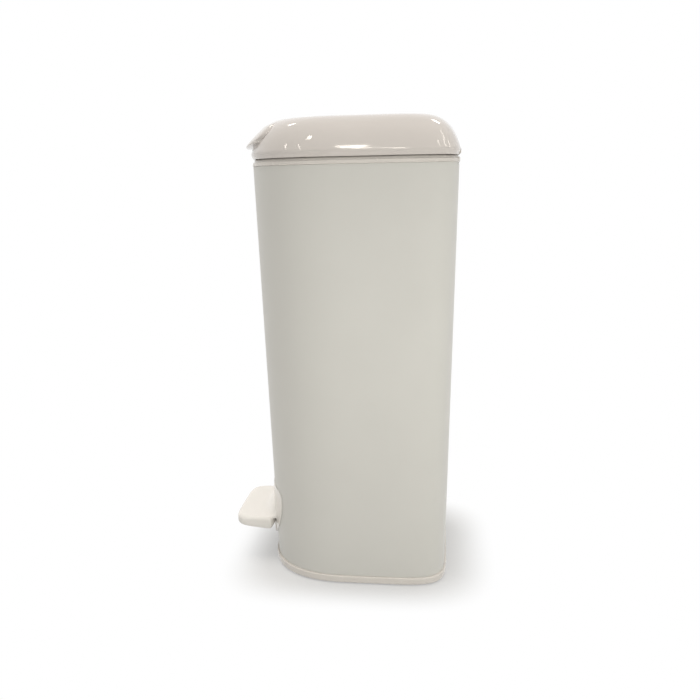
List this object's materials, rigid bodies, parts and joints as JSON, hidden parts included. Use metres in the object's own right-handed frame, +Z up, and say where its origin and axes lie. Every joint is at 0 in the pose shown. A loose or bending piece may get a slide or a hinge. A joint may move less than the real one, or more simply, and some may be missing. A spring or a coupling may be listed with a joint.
{
  "type": "pedal-operated nappy bin",
  "caption": "Pedal-operated nappy bin in warm white plastic: a tapered body with a domed lid that a foot pedal lifts through a rod, and a hinged head with a film cassette and sprung flaps.",
  "frame": {"origin": "middle of the object's box in plan, at floor level", "axes": "+Z up, -Y towards the front with the pedal, +X to the right as seen from behind the bin"},
  "size_m": [0.248, 0.307, 0.5997],
  "materials": {
    "body": "fine satin, injection moulded",
    "trim": "satin, injection moulded",
    "lid": "high gloss, injection moulded",
    "pedal": "semi gloss, injection moulded",
    "inner": "fine matt",
    "cassette": "fine matt",
    "film": "thin translucent film",
    "feet": "matt",
    "seal": "matt",
    "steel": "drawn, bright"
  },
  "bodies": {
    "bin": {"body_shell": "body", "base_plate": "trim", "inner_floor": "inner", "foot_1": "feet", "foot_2": "feet", "foot_3": "feet", "foot_4": "feet", "base_screw_1": "steel", "base_screw_2": "steel", "base_screw_3": "steel", "base_screw_4": "steel", "pedal_pin": "steel", "rod_guide_lower": "inner", "rod_guide_upper": "inner", "rod_cover": "inner", "head_hinge_pin_left": "steel", "head_hinge_pin_right": "steel"},
    "pedal_body": {"pedal": "pedal"},
    "rod": {"lift_rod": "steel", "rod_foot": "inner", "rod_cap": "inner"},
    "head": {"head_frame": "trim", "cassette_tray": "cassette", "film_pack": "film", "cassette_cover": "cassette", "film_sleeve": "film", "flap_pin_left": "steel", "flap_pin_right": "steel", "cutter_guard": "cassette", "cutter_blade": "steel", "lid_hinge_pin_left": "steel", "lid_hinge_pin_right": "steel"},
    "flap_left_body": {"flap_left": "inner"},
    "flap_right_body": {"flap_right": "inner"},
    "lid": {"lid_shell": "lid", "lid_liner": "inner", "lid_seal": "seal", "lid_screw_1": "steel", "lid_screw_2": "steel", "lid_screw_3": "steel", "lid_screw_4": "steel"}
  },
  "joints": [
    {"name": "head_hinge", "type": "hinge", "parent": "bin", "child": "head", "pos_m": [0, 0.1487, 0.54], "axis": [-1, 0, 0], "range_deg": [0, 60]},
    {"name": "lid_hinge", "type": "hinge", "parent": "head", "child": "lid", "pos_m": [0, 0.1499, 0.549], "axis": [-1, 0, 0], "range_deg": [0, 75]},
    {"name": "pedal_pivot", "type": "hinge", "parent": "bin", "child": "pedal_body", "pos_m": [0, -0.0485, 0.021], "axis": [1, 0, 0], "range_deg": [0, 13]},
    {"name": "rod_slide", "type": "slide", "parent": "bin", "child": "rod", "axis": [0, 0, 1], "range_m": [0, 0.0381]},
    {"name": "flap_right_hinge", "type": "hinge", "parent": "head", "child": "flap_right_body", "pos_m": [0.061, 0.0085, 0.509], "axis": [0, -1, 0], "range_deg": [0, 75], "stiffness_Nm_per_rad": 0.02, "springref_deg": -28.65},
    {"name": "flap_left_hinge", "type": "hinge", "parent": "head", "child": "flap_left_body", "pos_m": [-0.061, 0.0085, 0.509], "axis": [0, 1, 0], "range_deg": [0, 75], "stiffness_Nm_per_rad": 0.02, "springref_deg": -28.65}
  ],
  "couplings": [
    {"joint": "pedal_pivot", "follows": "lid_hinge", "ratio": 0.172},
    {"joint": "rod_slide", "follows": "lid_hinge", "m_per_rad": 0.02903}
  ]
}
